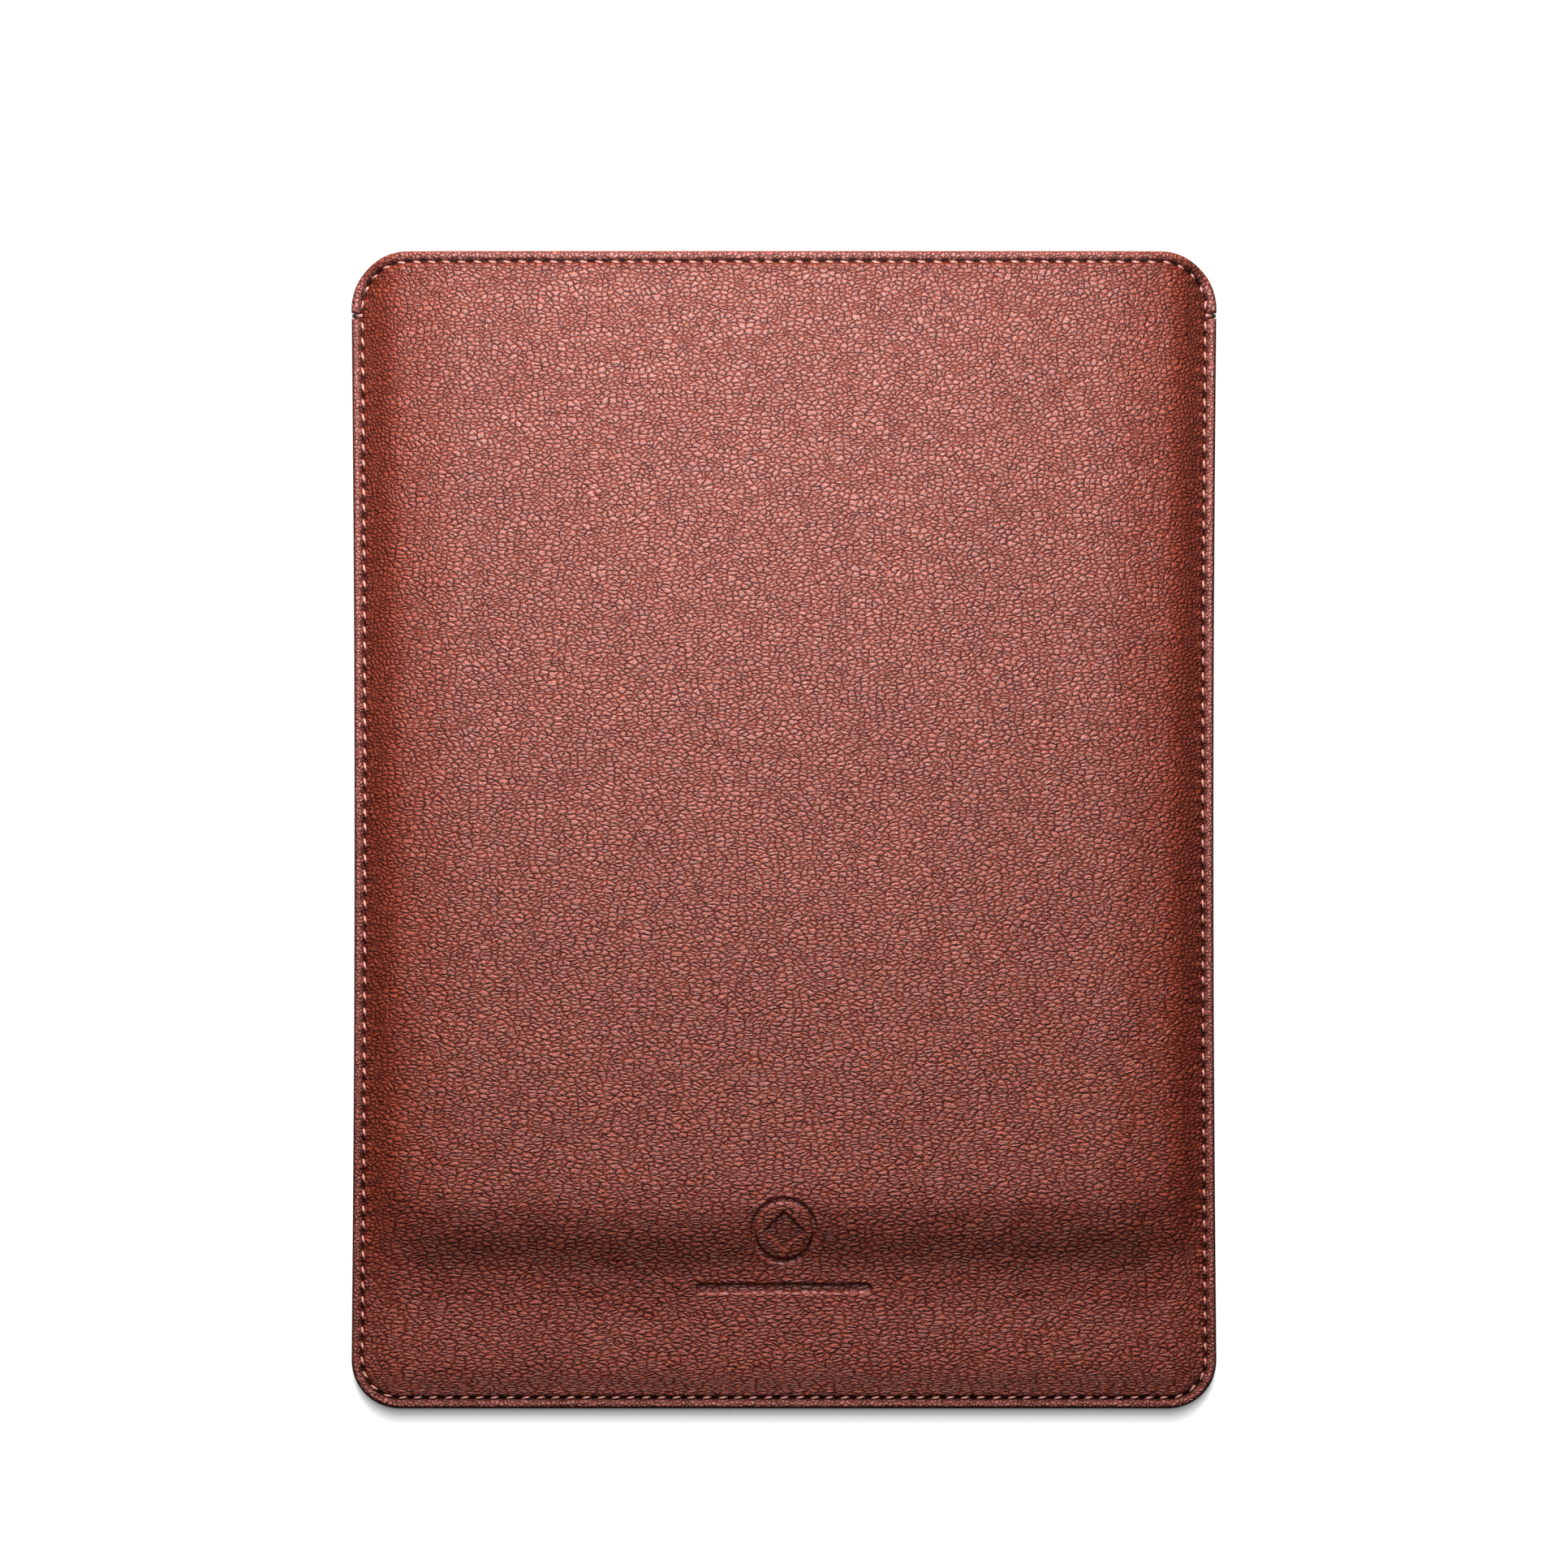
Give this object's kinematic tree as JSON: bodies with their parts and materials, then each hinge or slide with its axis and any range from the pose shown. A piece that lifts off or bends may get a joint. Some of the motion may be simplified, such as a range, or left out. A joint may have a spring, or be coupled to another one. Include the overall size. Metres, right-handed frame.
{
  "type": "laptop sleeve",
  "caption": "Slim leather sleeve for a laptop, open at one short end, with bound and stitched edges, a wool felt lining and a front lip that flexes open.",
  "frame": {"origin": "middle of the box that holds the sleeve, on the flat underside it lies on", "axes": "+X across the width, +Y along the length towards the open mouth, +Z out of the front face"},
  "size_m": [0.236, 0.315, 0.023],
  "materials": {
    "leather": "pebbled, low sheen",
    "binding": "fine grain, low sheen",
    "felt": "wool felt",
    "thread": "waxed twisted thread"
  },
  "bodies": {
    "root": {"front_leather_panel": "leather", "front_felt_lining": "felt", "back_leather_panel": "leather", "back_felt_lining": "felt", "side_and_foot_binding": "binding", "back_mouth_binding": "binding", "side_seam_needle_thread": "thread", "side_seam_bobbin_thread": "thread", "back_mouth_needle_thread": "thread", "back_mouth_bobbin_thread": "thread", "left_notch_bar_tack": "thread", "right_notch_bar_tack": "thread"},
    "front_lip": {"front_lip_leather": "leather", "front_lip_felt": "felt", "front_mouth_binding": "binding", "front_mouth_needle_thread": "thread", "front_mouth_bobbin_thread": "thread"}
  },
  "joints": [
    {"name": "front_lip_open", "type": "hinge", "parent": "root", "child": "front_lip", "pos_m": [0, 0.141, 0.023], "axis": [1, 0, 0], "range_deg": [0, 20], "stiffness_Nm_per_rad": 0.05}
  ]
}
